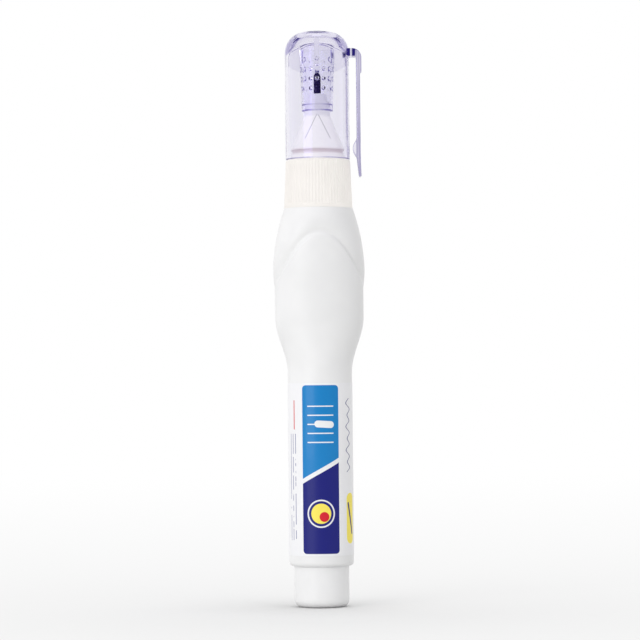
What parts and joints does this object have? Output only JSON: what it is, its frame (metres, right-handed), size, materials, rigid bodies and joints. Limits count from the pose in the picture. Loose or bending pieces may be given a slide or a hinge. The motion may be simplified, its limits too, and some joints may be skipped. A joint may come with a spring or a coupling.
{
  "type": "correction pen",
  "caption": "Squeeze-bottle correction pen with a clear tinted cap and clip, ribbed screw collar, sprung needle valve, thumb pads and a tail plug.",
  "frame": {"origin": "centre of the flat end of the tail, where the pen stands", "axes": "+Z along the pen from tail to cap, +X towards the clip, the thumb pads face -Y and +Y"},
  "size_m": [0.0216, 0.0192, 0.135],
  "materials": {
    "bottle_white": "satin white polyethylene",
    "plug_white": "satin white polyethylene",
    "label_film": "printed film, blue blocks on white",
    "collar_cream": "fine-ribbed cream plastic",
    "gasket_rubber": "soft seal",
    "nozzle_white": "smooth white plastic",
    "tip_steel": "dark polished steel",
    "needle_steel": "drawn wire",
    "plunger_plastic": "natural plastic",
    "spring_steel": "drawn wire",
    "ball_steel": "polished steel",
    "cap_violet": "clear plastic with a light violet tint"
  },
  "bodies": {
    "bottle": {"bottle": "bottle_white", "tail_plug": "plug_white", "label": "label_film"},
    "head": {"nozzle": "nozzle_white", "metal_tip": "tip_steel", "spring_retainer": "plunger_plastic", "neck_gasket": "gasket_rubber", "needle_spring": "spring_steel"},
    "collar": {"collar": "collar_cream"},
    "valve": {"plunger": "plunger_plastic", "needle": "needle_steel"},
    "cap": {"cap": "cap_violet"},
    "clip": {"cap_clip": "cap_violet"},
    "ball": {"mixing_ball": "ball_steel"}
  },
  "joints": [
    {"name": "head_lift", "type": "slide", "parent": "bottle", "child": "head", "axis": [0, 0, 1], "range_m": [0, 0.004]},
    {"name": "collar_unscrew", "type": "hinge", "parent": "head", "child": "collar", "pos_m": [0, 0, 0.099], "axis": [0, 0, 1], "range_deg": [0, 720]},
    {"name": "needle_press", "type": "slide", "parent": "head", "child": "valve", "axis": [0, 0, -1], "range_m": [0, 0.0005], "stiffness_N_per_m": 300, "springref_m": -0.002, "deforming": ["needle_spring"]},
    {"name": "cap_pull", "type": "slide", "parent": "head", "child": "cap", "axis": [0, 0, 1], "range_m": [0, 0.035]},
    {"name": "clip_flex", "type": "hinge", "parent": "cap", "child": "clip", "pos_m": [0.008, 0, 0.131], "axis": [0, -1, 0], "range_deg": [0, 3], "stiffness_Nm_per_rad": 0.6},
    {"name": "ball_travel", "type": "slide", "parent": "bottle", "child": "ball", "axis": [0, 0, 1], "range_m": [0, 0.09]}
  ],
  "couplings": [
    {"joint": "collar_unscrew", "follows": "head_lift", "rad_per_m": 3141.5}
  ]
}
